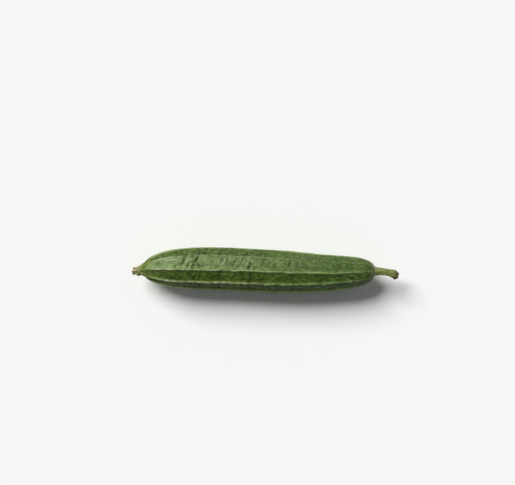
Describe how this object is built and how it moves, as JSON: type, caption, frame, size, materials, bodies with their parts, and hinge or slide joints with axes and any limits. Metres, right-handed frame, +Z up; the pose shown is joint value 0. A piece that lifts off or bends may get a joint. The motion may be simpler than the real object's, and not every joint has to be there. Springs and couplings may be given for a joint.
{
  "type": "ridge gourd",
  "caption": "Young ridge gourd, a long tapering green fruit with sharp lengthwise ridges, a piece of stem and a withered blossom, lying on its side.",
  "frame": {"origin": "centre of the overall box in plan, on the surface that the gourd lies on", "axes": "+X along the gourd from the withered blossom to the stem, +Z up from the surface, +Y across"},
  "size_m": [0.2262, 0.0394, 0.0366],
  "materials": {
    "gourd_skin": "wrinkled green skin with a thin waxy sheen and paler ridge crests",
    "green_stalk": "yellow-green ribbed stalk with a dry brown cut",
    "dry_flower": "withered buff petals, papery and matte"
  },
  "bodies": {
    "root": {"fruit": "gourd_skin", "stem": "green_stalk", "withered_blossom": "dry_flower"}
  },
  "joints": []
}
